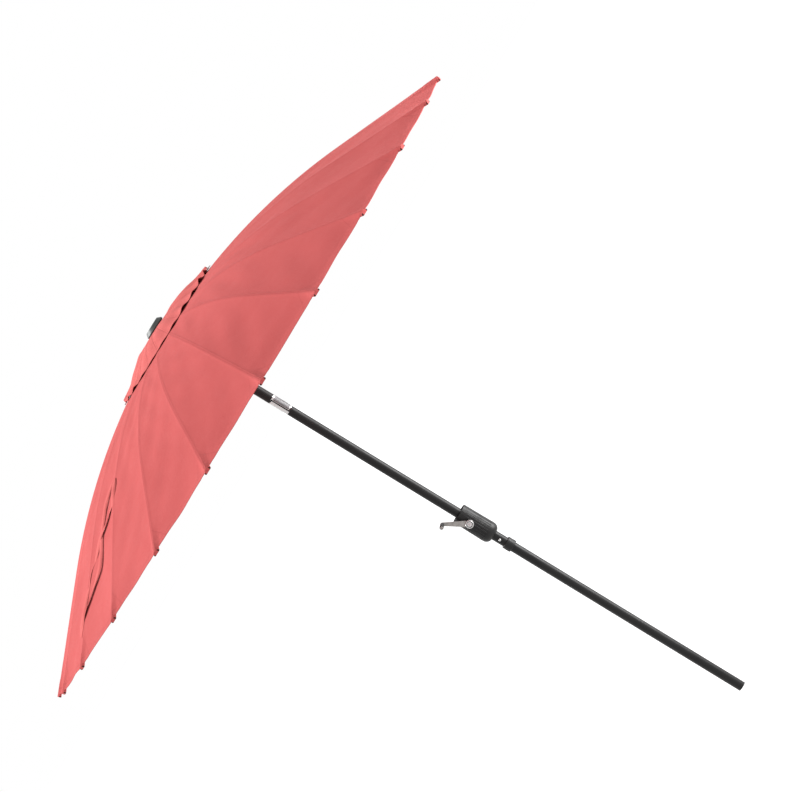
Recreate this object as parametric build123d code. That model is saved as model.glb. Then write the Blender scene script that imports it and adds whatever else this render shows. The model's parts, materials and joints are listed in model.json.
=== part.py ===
"""A 24-rib market umbrella with a crank and a tilting pole, open, standing upright on its pole's foot.

Millimetres, +Z up along the pole. The origin is the centre of the pole's foot. The crank is on the -Y side,
and rib_00 is above it. Ribs are numbered towards -X. Each part is written to parts/NODE.step.
"""
from build123d import *
from math import atan2, cos, degrees, hypot, pi, radians, sin, tan
import os

# Pole
POLE_R = 19.0
POLE_WALL = 1.5
BORE_R = POLE_R - POLE_WALL
INSERT_R = 17.35
INSERT_Z = (900.0, 1125.0)
COLLAR_Z = (1018.5, 1051.5)
JOINT_Z = 1035.0
COLLAR_R = 24.5
SNAP_Z = 1076.0
SNAP_R = 5.2

# Tilt knuckle, a half-lap of two cheeks on a pin along X
TILT_Z = 2042.0
KNUCKLE_HALF = 41.0
CHEEK_REACH = 40.4
PLATE_HALF = 2.5
SPIGOT = 60.0
TILT_PIN_R = 4.0
TILT_BUTTON_R = 7.0

# Crank
CRANK_Z = 1207.0
HOUSING_R = 41.0
HOUSING_Z = (1103.0, 1258.0)
HOUSING_WALL = 3.0
SCREW_Z = (1140.0, 1238.0)
SCREW_X = (-29.0, 29.0)
SCREW_R = 1.6
HUB_R = 15.5
ARM_LENGTH = 103.0
ARM_LEAN = 33.0
ARM_Y = (-56.0, -48.0)
KNOB_Y = (-108.0, -57.0)
KNOB_R = 8.0
SHAFT_R = 5.0

# Canopy frame: a rib leaves the crown at one slope, bends on one arc and ends at a steeper slope
RIBS = 24
STRUT_EVERY = 3
HINGE_R, HINGE_Z = 45.0, 2551.0
HUB_SLOPE, TIP_SLOPE = 5.5, 23.0
BEND_R = (240.0, 930.0)
RIB_END_R = 1335.0
TIP_END_R = 1353.0
RIB_H, RIB_W = 10.0, 7.0
BRACKET_R = 620.0
BRACKET_DROP = 16.0
STRUT_H, STRUT_W = 10.0, 4.0
RUNNER_PIVOT_R, RUNNER_PIVOT_Z = 40.0, 2223.0
RUNNER_Z = (2165.0, 2262.0)
PIN_R = 2.0
RING_R = 1.5
PLAY = 0.05

# Fabric
CLOTH = 0.8
CLOTH_GAP = 1.4
CANOPY_R = (150.0, 1350.0)
VENT = ((12.0, 2584.0), (50.0, 2584.5), (115.0, 2588.0), (190.0, 2575.0), (240.0, 2560.0), (296.0, 2549.0))
STRAP_START = (800.0, 31.5)
STRAP_END = (1255.0, 42.5)
STRAP_WIDTH = 46.0
STRAP_GAP = 3.0
STRAP_THICK = 1.6

# Lift cord, from the spool up inside the pole, over the pulley and down to the runner
CORD_R = 1.5
CORD_Y = 9.0
DROP_Y = 22.0
PULLEY_Z = 2480.0
PULLEY_Y = (CORD_Y + DROP_Y) / 2
GROOVE_R = (DROP_Y - CORD_Y) / 2
SPOOL_R = 14.4

CROWN_R = 56.0
CROWN_Z = (2539.0, 2563.0)
FINIAL_Z = (2585.0, 2606.0)
POST_R = 10.0


def tube(outer, inner, low, high):
    """A straight tube about Z."""
    return cylinder_z(outer, low, high) - cylinder_z(inner, low - 1, high + 1)


def cylinder_z(radius, low, high, x=0.0, y=0.0):
    return Pos(x, y, (low + high) / 2) * Cylinder(radius, high - low)


def cylinder_y(radius, low, high, x=0.0, z=0.0):
    return Pos(x, (low + high) / 2, z) * Rot(90, 0, 0) * Cylinder(radius, high - low)


def cylinder_x(radius, low, high, y=0.0, z=0.0):
    return Pos((low + high) / 2, y, z) * Rot(0, 90, 0) * Cylinder(radius, high - low)


def block(x, y, z):
    """A box from (low, high) pairs."""
    size = [high - low for low, high in (x, y, z)]
    return Pos(*[(low + high) / 2 for low, high in (x, y, z)]) * Box(*size)


def turned(points):
    """A solid of revolution about Z from (r, z) points."""
    return revolve(Plane.XZ * make_face(Polyline(*points, close=True)), Axis.Z)


def plate(face, width):
    """A face drawn in (r, z), given a width about its radial plane."""
    return extrude(Plane.XZ * face, amount=width / 2, both=True)


def azimuth(rib):
    """The angle of a rib about Z, with rib_00 over the crank."""
    return -90.0 - rib * 360.0 / RIBS


def at_rib(shape, rib):
    return Rot(0, 0, azimuth(rib)) * shape


def rib_point(r, above=0.0):
    """A point of the rib's centreline at radius r, moved along its normal, and the slope there."""
    bend = (BEND_R[1] - BEND_R[0]) / (sin(radians(TIP_SLOPE)) - sin(radians(HUB_SLOPE)))
    hub, tip = radians(HUB_SLOPE), radians(TIP_SLOPE)
    z_start = HINGE_Z - (BEND_R[0] - HINGE_R) * tan(hub)
    z_end = z_start - bend * (cos(hub) - cos(tip))
    if r <= BEND_R[0]:
        slope, z = hub, HINGE_Z - (r - HINGE_R) * tan(hub)
    elif r < BEND_R[1]:
        rise = sin(hub) + (r - BEND_R[0]) / bend
        slope = atan2(rise, (1 - rise * rise) ** 0.5)
        z = z_start - bend * (cos(hub) - cos(slope))
    else:
        slope, z = tip, z_end - (r - BEND_R[1]) * tan(tip)
    return (r + above * sin(slope), z + above * cos(slope)), slope


BRACKET, BRACKET_SLOPE = rib_point(BRACKET_R, -BRACKET_DROP)


def rib_face(half):
    """The rib's side view: two straight stretches and one arc, with a round hinge eye."""
    middle = sum(BEND_R) / 2
    stations = (HINGE_R, BEND_R[0], middle, BEND_R[1], RIB_END_R)
    top = [rib_point(r, half)[0] for r in stations]
    low = [rib_point(r, -half)[0] for r in stations]
    edges = [
        Line(top[0], top[1]),
        ThreePointArc(top[1], top[2], top[3]),
        Line(top[3], top[4]),
        Line(top[4], low[4]),
        Line(low[4], low[3]),
        ThreePointArc(low[3], low[2], low[1]),
        Line(low[1], low[0]),
        Line(low[0], top[0]),
    ]
    return make_face(edges) + Pos(HINGE_R, HINGE_Z) * Circle(half)


def disc(radius, point):
    return Pos(*point) * Circle(radius)


def slot_face(first, last, height):
    """A round-ended bar between two points."""
    angle = degrees(atan2(last[1] - first[1], last[0] - first[0]))
    long = hypot(last[0] - first[0], last[1] - first[1])
    middle = ((first[0] + last[0]) / 2, (first[1] + last[1]) / 2)
    return Pos(*middle) * SlotCenterToCenter(long, height, rotation=angle)


def rib():
    """The bar, its clip-on strut bracket, two pins and the tip cap, each a solid of its own."""
    on_rib = rib_point(BRACKET_R)[0]
    holes = disc(RING_R + 0.3, (HINGE_R, HINGE_Z)) + disc(PIN_R + PLAY, on_rib)
    bar = plate(rib_face(RIB_H / 2) - holes, RIB_W)
    cheek = slot_face(on_rib, BRACKET, 11.0)
    cheek -= disc(PIN_R + PLAY, on_rib) + disc(PIN_R + PLAY, BRACKET)
    inner = RIB_W + 0.4
    cheeks = plate(cheek, inner + 2.8) - plate(slot_face(on_rib, BRACKET, 20.0), inner)
    pins = [plate(disc(PIN_R, point), inner + 5.0) for point in (on_rib, BRACKET)]
    (r0, z0), slope = rib_point(RIB_END_R + 0.1)
    (r1, z1), _ = rib_point(TIP_END_R)
    long = hypot(r1 - r0, z1 - z0)
    cap = Rectangle(long, RIB_H - 1.0)
    tip = plate(Pos((r0 + r1) / 2, (z0 + z1) / 2) * Rot(0, 0, -degrees(slope)) * cap, RIB_W + 1.0)
    return [bar, *cheeks.solids(), *pins, tip]


def strut():
    """A flat bar from the rib's bracket to the runner, with an eye at each end."""
    pivot = (RUNNER_PIVOT_R, RUNNER_PIVOT_Z)
    face = slot_face(BRACKET, pivot, STRUT_H)
    face -= disc(PIN_R + PLAY, BRACKET) + disc(PIN_R - 0.2, pivot)
    return [plate(face, STRUT_W)]


def faceted(outer, inner):
    """A closed skin of flat gores between neighbouring ribs, from an outer and an inner (r, z) outline."""
    loop = [*outer, *reversed(inner)]
    corners = [radians(azimuth(k)) for k in range(RIBS)]
    rings = [[(r * cos(a), r * sin(a), z) for a in corners] for r, z in loop]
    faces = []
    for this, after in zip(rings, rings[1:] + rings[:1]):
        for k in range(RIBS):
            j = (k + 1) % RIBS
            ring = [this[k], after[k], after[j], this[j]]
            faces.append(Face(Wire.make_polygon([Vector(*p) for p in ring], close=True)))
    skin = Solid(Shell(faces))
    return skin if skin.volume > 0 else Solid(Shell([-face for face in faces]))


def canopy_outline(above):
    """The main canopy's outline along a rib, a fixed distance over its centreline."""
    steps = 9
    bend = [BEND_R[0] + (BEND_R[1] - BEND_R[0]) * i / steps for i in range(steps + 1)]
    return [rib_point(r, above)[0] for r in (CANOPY_R[0], *bend, CANOPY_R[1])]


def canopy():
    under = RIB_H / 2 + CLOTH_GAP
    return [faceted(canopy_outline(under + CLOTH), canopy_outline(under))]


def vent_canopy():
    """The small top canopy over the vent opening."""
    return [faceted(VENT, [(r, z - CLOTH) for r, z in VENT])]


def strap_place(end):
    """The point this far out and this many degrees round from the crank towards -X."""
    r, turn = end
    angle = radians(-90.0 - turn)
    return Vector(r * cos(angle), r * sin(angle))


def tie_strap():
    """The self-fabric closing loop, laid on one gore: two strands joined at both ends."""
    over = RIB_H / 2 + CLOTH_GAP + CLOTH + 1.0
    first, last = strap_place(STRAP_START), strap_place(STRAP_END)
    long = (last - first).length
    outline = Rectangle(long, STRAP_WIDTH) - Rectangle(long - 60.0, STRAP_GAP)
    middle = (first + last) / 2
    turn = degrees(atan2(last.Y - first.Y, last.X - first.X))
    prism = extrude(Pos(middle.X, middle.Y, 2000.0) * Rot(0, 0, turn) * outline, amount=600.0)
    return [prism & faceted(canopy_outline(over + STRAP_THICK), canopy_outline(over))]


def lower_pole():
    return [tube(POLE_R, BORE_R, 0.0, COLLAR_Z[0])]


def foot_cap():
    """A plug in the foot of the pole, flush with its end."""
    return [cylinder_z(BORE_R - 0.1, 0.0, 25.0) - cylinder_z(BORE_R - 3.0, 4.0, 26.0)]


def snap_hole():
    return cylinder_y(SNAP_R + 0.3, -POLE_R - 2, -10.0, z=SNAP_Z)


def pole_insert():
    """The sleeve fixed in the lower pole that the upper pole drops over."""
    return [tube(INSERT_R, INSERT_R - POLE_WALL, *INSERT_Z) - snap_hole()]


def pole_collar():
    collar = tube(COLLAR_R, INSERT_R + PLAY, *COLLAR_Z)
    collar -= cylinder_z(POLE_R + PLAY, JOINT_Z, COLLAR_Z[1] + 1)
    return [chamfer(collar.edges().filter_by(GeomType.CIRCLE).sort_by(SortBy.RADIUS)[-2:], 2.0)]


def mid_pole():
    """The upper pole below the knuckle, with the snap button's hole and the crank shaft's holes."""
    pole = tube(POLE_R, BORE_R, JOINT_Z, TILT_Z - KNUCKLE_HALF) - snap_hole()
    return [pole - cylinder_y(SHAFT_R + 1.0, -POLE_R - 2, POLE_R + 2, z=CRANK_Z)]


def snap_button():
    """The sprung button: a round nose through both tubes and a flange behind the sleeve's wall."""
    nose = cylinder_y(SNAP_R, -POLE_R - 2.5, -13.2, z=SNAP_Z)
    nose = fillet(nose.edges().filter_by(GeomType.CIRCLE).sort_by(Axis.Y)[0], 2.0)
    return [nose + cylinder_y(7.4, -13.2, -11.2, z=SNAP_Z)]


def housing_shell():
    """The crank housing: a cup around the pole with a rounded floor and an open, flat top."""
    low, high = HOUSING_Z
    inner = POLE_R + 0.3
    full = revolve(
        Plane.XZ * make_face([
            Line((inner, low), (26.0, low)),
            RadiusArc((26.0, low), (HOUSING_R, low + 24.0), -26.0),
            Line((HOUSING_R, low + 24.0), (HOUSING_R - 1.5, high)),
            Line((HOUSING_R - 1.5, high), (inner, high)),
            Line((inner, high), (inner, low)),
        ]),
        Axis.Z,
    )
    bosses = [
        cylinder_y(5.0, -HOUSING_R, HOUSING_R, x=x, z=z) & full
        for x, z in screw_places()
    ]
    wall = full - cylinder_z(HOUSING_R - HOUSING_WALL - 1.5, low + 22.0, high + 1)
    for boss in bosses:
        wall += boss
    wall += cylinder_y(HUB_R - 2.0, -46.5, -34.0, z=CRANK_Z)
    wall -= cylinder_y(SHAFT_R + 0.3, -48.0, -20.0, z=CRANK_Z)
    wall -= cylinder_z(inner, low - 1, high + 1)
    for k in range(RIBS):
        wall -= Rot(0, 0, (k + 0.5) * 360.0 / RIBS) * cylinder_z(2.6, low + 30, high + 1, x=HOUSING_R + 1.0)
    return wall


def screw_places():
    return [(x, z) for x in SCREW_X for z in SCREW_Z]


def crank_housing_halves():
    """The housing's front and back shells, split across Y, with screw holes and counterbores."""
    shell = housing_shell()
    for x, z in screw_places():
        shell -= cylinder_y(SCREW_R + PLAY, -18.0, 40.0, x=x, z=z)
        shell -= cylinder_y(3.4, 22.0, 45.0, x=x, z=z)
    wide = (-60.0, 60.0)
    front = shell & block(wide, (-60.0, -0.1), (1000.0, 1400.0))
    back = shell & block(wide, (0.1, 60.0), (1000.0, 1400.0))
    return [front], [back]


def housing_screws():
    return [
        cylinder_y(SCREW_R, -17.0, 22.2, x=x, z=z) + cylinder_y(3.2, 22.2, 25.0, x=x, z=z)
        for x, z in screw_places()
    ]


def crank_shaft():
    """The spool inside the pole, the shaft out to the arm, and the cap on the hub."""
    spool = cylinder_y(SPOOL_R, -9.0, 9.0, z=CRANK_Z) - cylinder_y(SPOOL_R + 1, -7.0, 7.0, z=CRANK_Z)
    spool += cylinder_y(SPOOL_R - 2.4, -8.0, 8.0, z=CRANK_Z)
    shaft = cylinder_y(SHAFT_R, ARM_Y[0] - 1.2, 17.0, z=CRANK_Z)
    cap = cylinder_y(9.0, ARM_Y[0] - 3.4, ARM_Y[0] - 1.2, z=CRANK_Z)
    return [spool + shaft + cap]


def arm_end():
    lean = radians(ARM_LEAN)
    return -ARM_LENGTH * sin(lean), CRANK_Z + ARM_LENGTH * cos(lean)


def crank_arm():
    """A tapered arm between the hub and the knob's boss."""
    x, z = arm_end()
    lean = radians(ARM_LEAN)
    across = (cos(lean), sin(lean))
    wide, narrow = 12.0, 6.5
    corners = [
        (wide * across[0], CRANK_Z + wide * across[1]),
        (x + narrow * across[0], z + narrow * across[1]),
        (x - narrow * across[0], z - narrow * across[1]),
        (-wide * across[0], CRANK_Z - wide * across[1]),
    ]
    face = make_face(Polyline(*corners, close=True)) + disc(narrow, (x, z))
    depth = ARM_Y[1] - ARM_Y[0]
    arm = extrude(Plane.XZ.offset(-ARM_Y[1]) * face, amount=depth)
    arm += cylinder_y(HUB_R, ARM_Y[0] - 1.0, ARM_Y[1] + 1.2, z=CRANK_Z)
    arm -= cylinder_y(SHAFT_R + PLAY, -70.0, -40.0, z=CRANK_Z)
    spindle = cylinder_y(3.0, KNOB_Y[0] + 4.0, ARM_Y[1], x=x, z=z)
    return [arm + spindle]


def crank_knob():
    """The knob, free to turn on the arm's spindle."""
    x, z = arm_end()
    grip = cylinder_y(KNOB_R, *KNOB_Y, x=x, z=z)
    grip = fillet(grip.edges().filter_by(GeomType.CIRCLE), 2.5)
    return [grip - cylinder_y(3.0 + PLAY, KNOB_Y[0] + 3.5, KNOB_Y[1] + 1, x=x, z=z)]


def knuckle(side):
    """Half of the tilt knuckle: -1 is the lower half with the left cheek, +1 the upper, right."""
    join = TILT_Z + side * KNUCKLE_HALF
    end = join + side * SPIGOT
    reach = TILT_Z - side * CHEEK_REACH
    across = (PLATE_HALF, POLE_R + 1) if side > 0 else (-POLE_R - 1, -PLATE_HALF)
    square = (TILT_Z, join + 1) if side > 0 else (join - 1, TILT_Z)
    cheek = cylinder_z(POLE_R, min(join, reach), max(join, reach))
    lens = cylinder_x(CHEEK_REACH, -POLE_R - 1, POLE_R + 1, z=TILT_Z)
    cheek &= lens + block((-20, 20), (-20, 20), square)
    cheek &= block(across, (-20, 20), (TILT_Z - 50, TILT_Z + 50))
    body = cheek + cylinder_z(BORE_R - 0.1, min(join, end), max(join, end))
    body -= cylinder_x(TILT_PIN_R + PLAY, -POLE_R - 1, POLE_R + 1, z=TILT_Z)
    return body - cylinder_z(CORD_R + 1.0, TILT_Z - 110, TILT_Z + 110, y=CORD_Y)


def tilt_knuckle_lower():
    return [knuckle(-1)]


def tilt_knuckle_upper():
    """The upper half, with the pocket for the tilt button in its cheek."""
    return [knuckle(1) - cylinder_x(TILT_BUTTON_R + 0.2, 11.0, POLE_R + 1, z=TILT_Z)]


def tilt_lock_plate():
    """The plate between the cheeks, fixed to the lower one, cut off at the back for the cord."""
    lens = cylinder_x(CHEEK_REACH, -PLATE_HALF + 0.2, PLATE_HALF - 0.2, z=TILT_Z)
    lens &= cylinder_z(POLE_R - 0.2, TILT_Z - 45, TILT_Z + 45)
    lens -= cylinder_x(TILT_PIN_R + PLAY, -5, 5, z=TILT_Z)
    return [lens - block((-3, 3), (CORD_Y - 2.5, POLE_R + 1), (TILT_Z - 50, TILT_Z + 50))]


def tilt_pin():
    return [cylinder_x(TILT_PIN_R, -16.0, 10.5, z=TILT_Z)]


def tilt_button():
    """The push button in the end of the tilt pivot."""
    return [cylinder_x(TILT_BUTTON_R, 15.2, POLE_R - 1.0, z=TILT_Z)]


def mast_pole():
    """The pole above the knuckle, with a window for the cord pulley and holes for its axle."""
    pole = tube(POLE_R, BORE_R, TILT_Z + KNUCKLE_HALF, HINGE_Z)
    pole -= block((-4.0, 4.0), (5.0, 25.0), (PULLEY_Z - 12, PULLEY_Z + 12))
    return [pole - cylinder_x(2.2, -POLE_R, POLE_R, y=PULLEY_Y, z=PULLEY_Z)]


def cord_pulley():
    """The grooved wheel at the top of the pole, with its axle."""
    wheel = cylinder_x(GROOVE_R + 2.5, -3.0, 3.0, y=PULLEY_Y, z=PULLEY_Z)
    ring = Torus(GROOVE_R, CORD_R + 0.15)
    wheel -= Pos(0, PULLEY_Y, PULLEY_Z) * Rot(0, 90, 0) * ring
    wheel -= (
        cylinder_x(GROOVE_R + 4, -1.65, 1.65, y=PULLEY_Y, z=PULLEY_Z)
        - cylinder_x(GROOVE_R, -2, 2, y=PULLEY_Y, z=PULLEY_Z)
    )
    return [wheel + cylinder_x(2.0, -10.5, 10.5, y=PULLEY_Y, z=PULLEY_Z)]


def lift_cord_lower():
    """From the spool straight up to the height of the tilt pivot."""
    return [cylinder_z(CORD_R, CRANK_Z + SPOOL_R + 1.0, TILT_Z, y=CORD_Y)]


def lift_cord_upper():
    """From the tilt pivot over the pulley and down to the top of the runner."""
    top = PULLEY_Z
    path = [
        Line((0, CORD_Y, TILT_Z), (0, CORD_Y, top)),
        ThreePointArc((0, CORD_Y, top), (0, PULLEY_Y, top + GROOVE_R), (0, DROP_Y, top)),
        Line((0, DROP_Y, top), (0, DROP_Y, RUNNER_Z[1])),
    ]
    section = Plane(origin=(0, CORD_Y, TILT_Z), z_dir=(0, 0, 1)) * Circle(CORD_R)
    return [sweep(section, path=Wire(path))]


def crown():
    """The slotted hub on the top of the pole, with the post that carries the finial."""
    low, high = CROWN_Z
    body = cylinder_z(CROWN_R, low, high) + cylinder_z(25.0, low - 28.0, low)
    body += cylinder_z(POST_R, high, FINIAL_Z[0])
    body -= cylinder_z(POLE_R + PLAY, low - 29.0, HINGE_Z + 0.1)
    slot = block((38.5, CROWN_R + 1), (-4.0, 4.0), (low - 1, high - 5.0))
    for k in range(RIBS):
        body -= at_rib(slot, k)
    return [body - ring_path(RING_R + PLAY)]


def ring_path(radius):
    """A 24-sided wire ring whose straight sides each pass through one rib's eye."""
    corner = HINGE_R / cos(pi / RIBS)
    angles = [radians(azimuth(k) + 180.0 / RIBS) for k in range(RIBS)]
    wire = Wire.make_polygon(
        [Vector(corner * cos(a), corner * sin(a), HINGE_Z) for a in angles], close=True
    )
    start = Plane(origin=wire @ 0, z_dir=wire % 0)
    return sweep(start * Circle(radius), path=wire, transition=Transition.RIGHT)


def rib_pivot_ring():
    return [ring_path(RING_R)]


def finial():
    """The cap on top: a low cone with bevelled edges, bored for the crown's post."""
    low, high = FINIAL_Z
    return [turned([(0, low), (44.0, low), (47.5, low + 4), (47.5, low + 8), (36.0, high), (0, high)])]


def runner():
    """The sliding hub: a sleeve with a slotted flange for the struts and a grip ring below."""
    low, high = RUNNER_Z
    body = cylinder_z(29.0, low, high) + cylinder_z(33.0, low, low + 14.0)
    body += cylinder_z(54.0, RUNNER_PIVOT_Z - 9.0, RUNNER_PIVOT_Z + 9.0)
    body -= cylinder_z(POLE_R + 0.5, low - 1, high + 1)
    slot = block((34.0, 56.0), (-2.6, 2.6), (RUNNER_PIVOT_Z - 12, RUNNER_PIVOT_Z + 12))
    for k in range(RIBS):
        body -= at_rib(slot, k)
    return [body]


def write(node, solids):
    export_step(Compound(label=node, children=list(solids)), f"parts/{node}.step")


def write_repeated(name, solids, ribs):
    for k in ribs:
        write(f"{name}_{k:02d}", [at_rib(solid, k) for solid in solids])


def main():
    os.makedirs("parts", exist_ok=True)
    single = [
        lower_pole, foot_cap, pole_insert, pole_collar, mid_pole, snap_button, housing_screws,
        crank_shaft, crank_arm, crank_knob, tilt_knuckle_lower, tilt_knuckle_upper, tilt_lock_plate,
        tilt_pin, tilt_button,
        mast_pole, cord_pulley, crown, rib_pivot_ring, finial, vent_canopy, canopy, runner, tie_strap,
        lift_cord_lower, lift_cord_upper,
    ]
    for make in single:
        write(make.__name__, make())
    front, back = crank_housing_halves()
    write("crank_housing_front", front)
    write("crank_housing_back", back)
    write_repeated("rib", rib(), range(RIBS))
    write_repeated("strut", strut(), range(0, RIBS, STRUT_EVERY))


main()
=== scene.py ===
"""Looks of a 24-rib crank and tilt market umbrella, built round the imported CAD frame.

Metres, +Z up along the pole, the crank on the -Y side. Ribs are numbered from the crank towards -X.
"""
import json
import random
from math import atan2, cos, exp, hypot, pi, radians, sin, sqrt, tan

import bpy
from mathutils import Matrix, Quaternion, Vector


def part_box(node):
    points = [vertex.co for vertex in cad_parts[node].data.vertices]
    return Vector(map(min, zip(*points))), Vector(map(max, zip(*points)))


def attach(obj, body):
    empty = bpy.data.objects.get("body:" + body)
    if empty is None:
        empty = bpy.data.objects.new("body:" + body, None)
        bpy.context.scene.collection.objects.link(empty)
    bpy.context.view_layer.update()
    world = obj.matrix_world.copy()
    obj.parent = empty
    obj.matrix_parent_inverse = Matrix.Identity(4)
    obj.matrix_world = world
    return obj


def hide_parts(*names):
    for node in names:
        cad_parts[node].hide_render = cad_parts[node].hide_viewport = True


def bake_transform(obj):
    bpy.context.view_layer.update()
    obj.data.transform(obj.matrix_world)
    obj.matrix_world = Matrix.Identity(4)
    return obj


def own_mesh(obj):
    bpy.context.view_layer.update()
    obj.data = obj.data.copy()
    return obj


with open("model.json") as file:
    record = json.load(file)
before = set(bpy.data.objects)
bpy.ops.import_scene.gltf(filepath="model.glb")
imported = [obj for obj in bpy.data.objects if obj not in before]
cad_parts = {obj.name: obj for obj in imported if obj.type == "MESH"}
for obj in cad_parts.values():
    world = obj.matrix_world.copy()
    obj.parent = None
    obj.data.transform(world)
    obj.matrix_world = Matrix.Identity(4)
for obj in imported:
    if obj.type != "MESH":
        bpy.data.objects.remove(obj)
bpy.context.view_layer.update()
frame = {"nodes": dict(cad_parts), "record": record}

RIBS = 24
GORE = 2 * pi / RIBS
HINGE_R, HINGE_Z = 0.045, 2.551
HUB_SLOPE, TIP_SLOPE = radians(5.5), radians(23.0)
BEND_R = (0.240, 0.930)
BRACKET_R, BRACKET_DROP = 0.620, 0.016
RUNNER_PIVOT = (0.040, 2.223)
CAP_START_R, POCKET_TIP_R = 1.3351, 1.3560

CANOPY_INNER_R, CANOPY_TIP_R = 0.150, 1.347
CANOPY_SPAN = CANOPY_TIP_R - CANOPY_INNER_R
CANOPY_ROWS, CANOPY_COLUMNS = 64, 13
CANOPY_RISE = 1.045  # cloth length for each metre of radius
CLOTH_TOP, CLOTH_UNDER = 0.0072, 0.0064
SAG = 0.036
HEM_DIP = 0.011
SEAM_COLUMNS = (0.0, 0.0014, 0.0062, 0.0072)
HEM_ROWS = (0.0, 0.0012, 0.0190, 0.0212)
CORNER_PATCH = 0.105

VENT_INNER_R, VENT_OUTER_R = 0.055, 0.296
VENT_SPAN = VENT_OUTER_R - VENT_INNER_R
VENT_ROWS, VENT_COLUMNS = 26, 8
VENT_LINE = ((0.012, 2.5815), (0.050, 2.5815), (0.080, 2.5818), (0.115, 2.5845), (0.140, 2.5800),
             (0.182, 2.5700), (0.235, 2.5575), (0.296, 2.5480))

CRANK = Vector((0.0, -0.057, 1.207))


# ---------------------------------------------------------------- camera, stage and light

def make_camera():
    """The umbrella lies on its side in the picture, so the camera is rolled round its own axis."""
    azimuth_turn, elevation, roll = radians(12.36), radians(3.37), radians(-58.52)
    aside, height, distance = 0.2530, 1.6899, 12.6593
    back = Vector((sin(azimuth_turn) * cos(elevation), -cos(azimuth_turn) * cos(elevation), sin(elevation)))
    right = Vector((cos(azimuth_turn), sin(azimuth_turn), 0.0))
    data = bpy.data.cameras.new("camera")
    data.sensor_width, data.lens = 36.0, 153.6
    data.clip_start, data.clip_end = 0.1, 200.0
    camera = link("camera", data)
    camera.location = right * aside + Vector((0.0, 0.0, height)) + back * distance
    camera.rotation_mode = "QUATERNION"
    look = (-back).to_track_quat("-Z", "Y")
    camera.rotation_quaternion = look @ Quaternion((0.0, 0.0, 1.0), roll)
    bpy.context.scene.camera = camera


def link(name, data):
    obj = bpy.data.objects.new(name, data)
    bpy.context.scene.collection.objects.link(obj)
    return obj


def aim_light(name, data, place, target):
    light = link(name, data)
    light.location = place
    light.rotation_mode = "QUATERNION"
    light.rotation_quaternion = (target - place).to_track_quat("-Z", "Y")
    light.visible_camera = False


def add_lights():
    """A broad key from above on the left, and a tall low softbox on the right, aimed at the pole."""
    key = bpy.data.lights.new("key", "SUN")
    key.energy, key.angle = 6.0, radians(26.0)
    centre = Vector((0.0, 0.0, 2.3))
    aim_light("key", key, centre + Vector((-0.80, 0.20, 0.75)) * 6.0, centre)
    softbox = bpy.data.lights.new("softbox", "AREA")
    softbox.shape, softbox.size, softbox.size_y = "RECTANGLE", 1.7, 2.2
    softbox.energy = 230.0
    aim_light("softbox", softbox, Vector((2.95, 0.3, 1.05)), Vector((0.0, 0.0, 1.05)))


def make_stage():
    """A self-lit pale floor under an even white sky, so that the background stays clean."""
    scene = bpy.context.scene
    scene.view_settings.view_transform = "Standard"
    scene.view_settings.look = "None"
    world = bpy.data.worlds.new("studio")
    scene.world = world
    world.use_nodes = True
    background = world.node_tree.nodes["Background"]
    background.inputs["Color"].default_value = (1.0, 1.0, 1.0, 1.0)
    background.inputs["Strength"].default_value = 1.0
    mesh = bpy.data.meshes.new("floor")
    half, level = 60.0, -0.001
    corners = [(-half, -half, level), (half, -half, level), (half, half, level), (-half, half, level)]
    mesh.from_pydata(corners, [], [(0, 1, 2, 3)])
    floor = link("floor", mesh)
    paint = bpy.data.materials.new("studio_floor")
    paint.use_nodes = True
    shader = paint.node_tree.nodes["Principled BSDF"]
    shader.inputs["Base Color"].default_value = (0.22, 0.22, 0.22, 1.0)
    shader.inputs["Roughness"].default_value = 0.9
    shader.inputs["Emission Color"].default_value = (1.0, 1.0, 1.0, 1.0)
    shader.inputs["Emission Strength"].default_value = 0.84
    mesh.materials.append(paint)
    add_lights()


# ---------------------------------------------------------------- node helpers

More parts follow.
